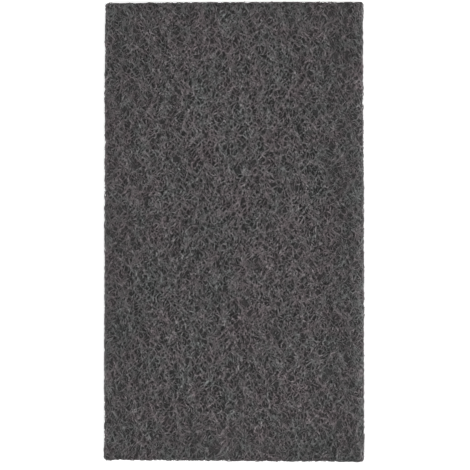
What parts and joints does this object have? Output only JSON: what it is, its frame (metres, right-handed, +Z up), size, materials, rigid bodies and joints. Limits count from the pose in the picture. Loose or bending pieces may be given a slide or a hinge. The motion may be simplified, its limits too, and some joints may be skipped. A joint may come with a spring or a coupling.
{
  "type": "abrasive hand pad",
  "caption": "Rectangular slab of dark grey nonwoven fibre web carrying abrasive grit, with pressed open-pored faces and cut edges, held in the hand to scour or blend a surface.",
  "frame": {"origin": "middle of the pad's outline, on its lower face", "axes": "+X across the pad, +Y along its length towards the narrower end, +Z up through its thickness"},
  "size_m": [0.1304, 0.2304, 0.008],
  "materials": {
    "nonwoven_web": "matt, open fibres coated with resin and grit"
  },
  "bodies": {
    "root": {"abrasive_pad": "nonwoven_web"}
  },
  "joints": []
}
